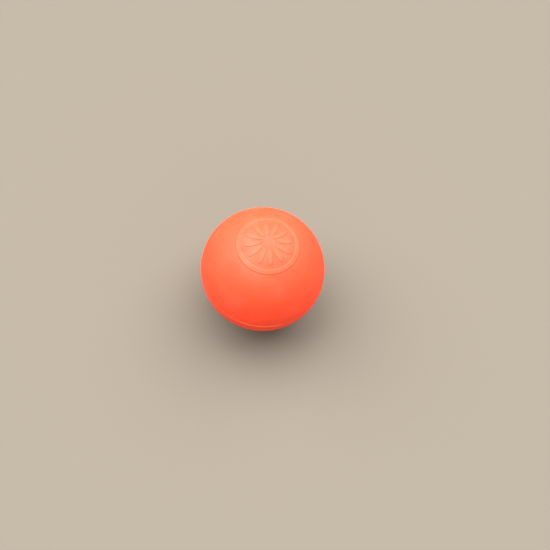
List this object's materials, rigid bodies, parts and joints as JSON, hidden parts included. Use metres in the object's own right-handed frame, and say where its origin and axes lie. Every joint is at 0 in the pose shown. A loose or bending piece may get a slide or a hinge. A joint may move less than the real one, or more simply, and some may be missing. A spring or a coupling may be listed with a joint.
{
  "type": "massage ball",
  "caption": "Solid rubber massage ball of lacrosse-ball size, a firm core in a skin of two cups with a raised seam and a moulded rosette.",
  "frame": {"origin": "the ball's centre", "axes": "+Z from the centre through the middle of the raised mark, square to the plane of the seam; +X and +Y each run through the middle of a petal of the mark"},
  "size_m": [0.064, 0.064, 0.0636],
  "materials": {
    "core": "matte",
    "cover": "satin",
    "seam": "satin"
  },
  "bodies": {
    "root": {"core": "core", "upper_cover": "cover", "lower_cover": "cover", "seam_bond": "seam"}
  },
  "joints": []
}
